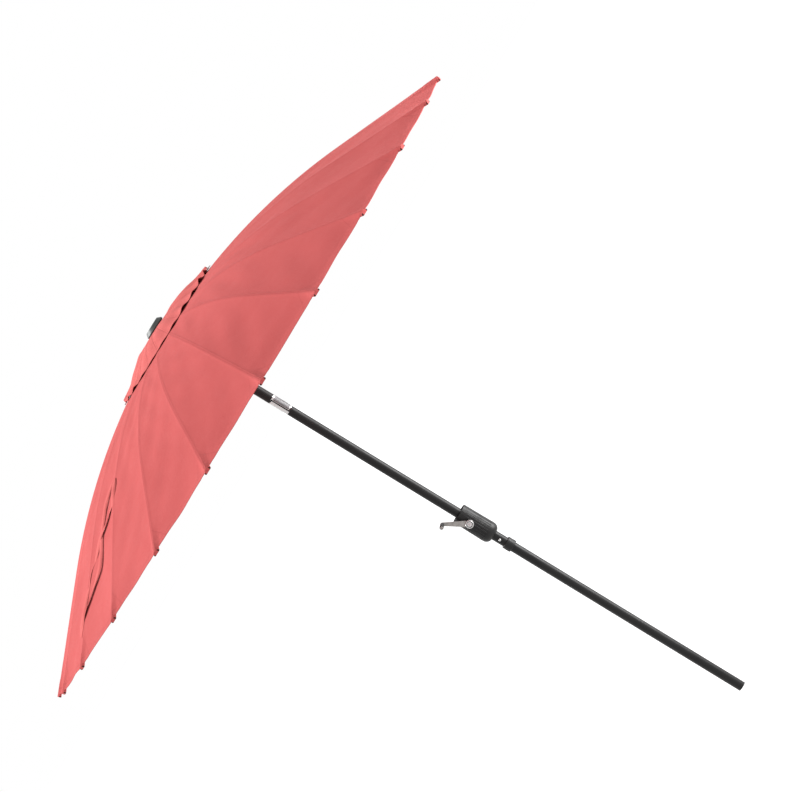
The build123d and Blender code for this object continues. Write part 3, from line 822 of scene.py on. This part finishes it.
def vent_tab(rib, paint):
    """A small pale tab on the vent's hem at the side ribs."""
    angle = azimuth(rib)
    spot, _ = vent_point(rib, 0.0, VENT_OUTER_R - 0.001, 0.0030)
    out = (radial(angle) - Vector((0.0, 0.0, 0.12))).normalized()
    side = tangent(angle)
    axes = (side, out, side.cross(out))
    mesh = block_mesh(f"vent_tab_{rib:02d}", spot + out * 0.004, axes, (0.016, 0.026, 0.0036))
    fitted(mesh, paint, f"rib_{rib:02d}")


def strap_ground(turn, r):
    """The canopy's outer face at radius r, this many degrees round from the crank, and its normal."""
    rib, share = divmod(turn / 15.0, 1.0)
    rib, u = (int(rib), -2 * share) if share <= 0.5 else (int(rib) + 1, 2 - 2 * share)
    inward = CANOPY_TIP_R - r
    point, _ = canopy_point(rib, u, inward, CLOTH_TOP)
    _, slope = rib_line(r)
    return point, radial(-pi / 2 - radians(turn)) * sin(slope) + Vector((0.0, 0.0, cos(slope)))


STRAP_START, STRAP_END = (30.3, 0.772), (47.5, 1.236)
STRAP_SPREAD = ((0.0, 0.004), (0.08, 0.026), (0.20, 0.040), (0.40, 0.002), (0.50, -0.030), (0.60, -0.056),
                (0.72, -0.036), (0.86, -0.006), (1.0, -0.014))
STRAP_ROLL = {1: ((0.0, -6.0), (0.12, -18.0), (0.28, 11.0), (0.45, -12.0), (0.62, 9.0), (0.80, -16.0),
                  (1.0, -8.0)),
              -1: ((0.0, -5.0), (0.20, -14.0), (0.36, -10.0), (0.55, -18.0), (0.78, 10.0), (1.0, -10.0))}
STRAP_STEPS, STRAP_WIDTH, STRAP_THICK = 90, 0.024, 0.0016
STRAP_SECTION = ((-0.5, 0.0), (-0.46, 0.5), (0.0, 0.62), (0.46, 0.5), (0.5, 0.0), (0.46, -0.5), (0.0, -0.38),
                 (-0.46, -0.5))


def strap_ring(t, side):
    """The section of one strand a share t along it, rolled on its edge."""
    turn = STRAP_START[0] + (STRAP_END[0] - STRAP_START[0]) * t
    r = STRAP_START[1] + (STRAP_END[1] - STRAP_START[1]) * t
    here, normal = strap_ground(turn, r)
    ahead, _ = strap_ground(turn + 0.1, r + 0.004)
    run = (ahead - here).normalized()
    over = normal.cross(run).normalized()
    offset = side * along(STRAP_SPREAD, t) + 0.0035 * sin(7.0 * t + side)
    roll = radians(along(STRAP_ROLL[side], t))
    wide = over * cos(roll) + normal * sin(roll)
    proud = wide.cross(run)
    if proud.dot(normal) < 0:
        proud = -proud
    pinch = 0.55 + 0.45 * smooth(min(t, 1.0 - t), 0.0, 0.06)
    rise = 0.0022 + abs(sin(roll)) * STRAP_WIDTH * pinch / 2
    if side > 0:
        rise += 0.0042 * exp(-((t - 0.40) / 0.05) ** 2)
    middle = here + over * offset + normal * rise
    return [middle + wide * (a * STRAP_WIDTH * pinch) + proud * (b * STRAP_THICK) for a, b in STRAP_SECTION]


def strap_strand(side, paint):
    """One strand of the closing loop, a folded band that rolls on its edge and crosses the other."""
    points, flat = [], []
    for i in range(STRAP_STEPS + 1):
        t = i / STRAP_STEPS
        points += strap_ring(t, side)
        flat += [(0.03 + a * STRAP_WIDTH, 0.05 + t * 0.55) for a, _ in STRAP_SECTION]
    faces = capped_faces(STRAP_STEPS + 1, len(STRAP_SECTION), flip=True)
    name = "tie_loop_a" if side > 0 else "tie_loop_b"
    strand = fitted(shaded_mesh(name, points, faces, 60.0, flat), paint, "rib_02")
    if side > 0:
        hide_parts("tie_strap")
    squash_at_rib(strand)


# ---------------------------------------------------------------- struts, cord and crank details

def bracket_point():
    z, slope = rib_line(BRACKET_R)
    return BRACKET_R - BRACKET_DROP * sin(slope), z - BRACKET_DROP * cos(slope)


def strut_mesh(rib):
    """A flat bar with round ends and a pin head at each, in its rib's plane."""
    (r0, z0), (r1, z1) = bracket_point(), RUNNER_PIVOT
    side = tangent(azimuth(rib))
    out = radial(azimuth(rib))
    lean = atan2(z1 - z0, r1 - r0)
    outline = []
    for (r, z), start in (((r0, z0), lean + pi / 2), ((r1, z1), lean - pi / 2)):
        for i in range(13):
            angle = start + pi * i / 12
            outline.append((r + 0.005 * cos(angle), z + 0.005 * sin(angle)))
    points, faces = [], []

    def prism(shape, width):
        base, count = len(points), len(shape)
        for s in (-width / 2, width / 2):
            points.extend(out * r + side * s + Vector((0.0, 0.0, z)) for r, z in shape)
        faces.append(tuple(base + i for i in range(count)))
        faces.append(tuple(base + count + i for i in range(count - 1, -1, -1)))
        for i in range(count):
            j = (i + 1) % count
            faces.append((base + i, base + count + i, base + count + j, base + j))

    prism(outline, 0.004)
    for r, z in ((r0, z0), (r1, z1)):
        turns = [2 * pi * i / 16 for i in range(16)]
        prism([(r + 0.0022 * cos(turn), z + 0.0022 * sin(turn)) for turn in turns], 0.0064)
    mesh = bpy.data.meshes.new(f"strut_bar_{rib:02d}")
    mesh.from_pydata(points, [], faces)
    return soften(mesh, 0.0005, 2)


def add_struts(paint):
    """The struts that CAD leaves out ride on the nearest one that it has."""
    for rib in range(RIBS):
        if rib % 3 == 0:
            continue
        near = (rib - 1 if rib % 3 == 1 else rib + 1) % RIBS
        bar = fitted(strut_mesh(rib), paint, f"strut_{near:02d}")
        squash_at_rib(bar)


def smooth_route(name, points):
    """The points of a NURBS line along a cord's route."""
    data = bpy.data.curves.new(name, "CURVE")
    data.dimensions = "3D"
    spline = data.splines.new("NURBS")
    spline.points.add(len(points) - 1)
    for point, place in zip(spline.points, points):
        point.co = (*place, 1.0)
    spline.order_u = 3
    spline.use_endpoint_u = True
    spline.resolution_u = 6
    holder = link(name, data)
    bpy.context.view_layer.update()
    line = bpy.data.meshes.new_from_object(holder)
    route = [vertex.co.copy() for vertex in line.vertices]
    bpy.data.objects.remove(holder)
    return route


def tube_mesh(name, path, radius, sides=14):
    """A round tube along a path in the YZ plane."""
    points = []
    for i, spot in enumerate(path):
        run = (path[min(i + 1, len(path) - 1)] - path[max(i - 1, 0)]).normalized()
        across_it = Vector((1.0, 0.0, 0.0))
        up = run.cross(across_it).normalized()
        for j in range(sides):
            angle = 2 * pi * j / sides
            points.append(spot + across_it * (radius * cos(angle)) + up * (radius * sin(angle)))
    return shaded_mesh(name, points, capped_faces(len(path), sides), 50.0)


INSIDE_Y, PULLEY_Y, DROP_Y = 0.009, 0.0155, 0.022
PULLEY_Z, CORD_R = 2.480, 0.0015
CORD_RUN = ((0.0, INSIDE_Y, 2.086), (0.0, INSIDE_Y, 2.300), (0.0, INSIDE_Y, 2.462), (0.0, INSIDE_Y, 2.4880),
            (0.0, PULLEY_Y, 2.4895), (0.0, DROP_Y, 2.4880), (0.0, DROP_Y, PULLEY_Z))


def add_lift_cord(paint):
    """The drop runs from the pulley down to the runner; the run inside the pole and over the pulley stays on
    the mast.
    """
    mesh = tube_mesh("lift_cord_run", smooth_route("cord_run_route", CORD_RUN), CORD_R)
    run = fitted(mesh, paint, "mast")
    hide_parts("lift_cord_upper")
    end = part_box("runner")[1].z
    fall = ((0.0, DROP_Y, PULLEY_Z), (0.0, DROP_Y, 2.410), (0.0, DROP_Y, 2.340), (0.0, DROP_Y, end))
    route = smooth_route("cord_drop_route", fall)
    mesh = tube_mesh("lift_cord_drop", route, CORD_R)
    mesh.materials.append(paint)
    drop = link("lift_cord_drop", mesh)
    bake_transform(drop)


def turned_mesh(name, line, centre, segments=48):
    """A solid turned about an axis through centre along -Y, from (r, depth) points that start and end on it."""
    rings = [p for p in line if p[0] > 0]
    points = []
    for r, depth in rings:
        for j in range(segments):
            angle = 2 * pi * j / segments
            points.append(centre + Vector((r * cos(angle), -depth, r * sin(angle))))
    faces = wall_faces(len(rings), segments)
    first, last = len(points), len(points) + 1
    points.append(centre + Vector((0.0, -line[0][1], 0.0)))
    points.append(centre + Vector((0.0, -line[-1][1], 0.0)))
    base = (len(rings) - 1) * segments
    for j in range(segments):
        k = (j + 1) % segments
        faces.append((first, k, j))
        faces.append((last, base + j, base + k))
    return shaded_mesh(name, points, faces, 40.0)


HUB_RIM = ((0.0, -0.0005), (0.0150, -0.0005), (0.0156, 0.0008), (0.0156, 0.0032), (0.0146, 0.0042),
           (0.0128, 0.0040), (0.0120, 0.0028), (0.0118, 0.0012), (0.0, 0.0012))
HUB_WELL = ((0.0, 0.0010), (0.0112, 0.0010), (0.0112, 0.0016), (0.0, 0.0016))
HUB_SCREW = ((0.0, 0.0014), (0.0050, 0.0014), (0.0056, 0.0022), (0.0050, 0.0036), (0.0028, 0.0046),
             (0.0, 0.0048))
HUB_SPOKES = (("hub_spoke_a", radians(12.0)), ("hub_spoke_b", radians(102.0)))
KNOB_END = ((0.0, -0.0004), (0.0052, -0.0004), (0.0058, 0.0003), (0.0052, 0.0010), (0.0034, 0.0010),
            (0.0028, 0.0002), (0.0, 0.0001))


def add_crank_details(paints):
    """The hub's bright rim and dark well, the pale screw head and spokes in it, and the knob's end."""
    fitted(turned_mesh("hub_rim", HUB_RIM, CRANK), paints["bright_metal"], "crank")
    fitted(turned_mesh("hub_well", HUB_WELL, CRANK), paints["black_plastic"], "crank")
    fitted(turned_mesh("hub_screw", HUB_SCREW, CRANK), paints["pale_trim"], "crank")
    outward = Vector((0.0, -1.0, 0.0))
    for name, turn in HUB_SPOKES:
        axes = (Vector((cos(turn), 0.0, sin(turn))), outward, Vector((sin(turn), 0.0, -cos(turn))))
        spoke = block_mesh(name, CRANK + Vector((0.0, -0.0024, 0.0)), axes, (0.0226, 0.0020, 0.0032), 0.0004)
        fitted(spoke, paints["pale_trim"], "crank")
    low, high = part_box("crank_knob")
    centre = Vector(((low.x + high.x) / 2, low.y, (low.z + high.z) / 2))
    fitted(turned_mesh("knob_end", KNOB_END, centre, 32), paints["crank_grey"], "crank_knob")


# ---------------------------------------------------------------- everything

def main():
    make_camera()
    make_stage()
    canopy_cloth = cloth_material("canopy_cloth_paint", CORAL_DEEP, CORAL_LIGHT, patch=CORNER_PATCH)
    pocket_cloth = cloth_material("pocket_cloth_paint", CORAL_DEEP, CORAL_LIGHT, piping=True)
    vent_cloth = cloth_material("vent_cloth_paint", VENT_DEEP, VENT_LIGHT)
    paints = {
        "black_powder_coat": powder_coat_material(),
        "black_plastic": moulded_material(),
        "grey_plastic": finial_material(),
        "bright_metal": bright_material(),
        "crank_grey": cast_material(),
        "frame_steel": frame_material(),
        "canopy_fabric": vent_cloth,
        "cord": cord_material(),
        "pale_trim": trim_material(),
    }
    paint_cad_nodes(paints)
    for rib in range(RIBS):
        canopy_panel(rib, canopy_cloth)
        vent_panel(rib, vent_cloth)
        tip_pocket(rib, pocket_cloth)
    vent_cap(vent_cloth)
    for rib in (RIBS // 4, 3 * RIBS // 4):
        vent_tab(rib, paints["pale_trim"])
    for side in (1, -1):
        strap_strand(side, vent_cloth)
    add_struts(paints["frame_steel"])
    add_lift_cord(paints["cord"])
    add_crank_details(paints)


main()
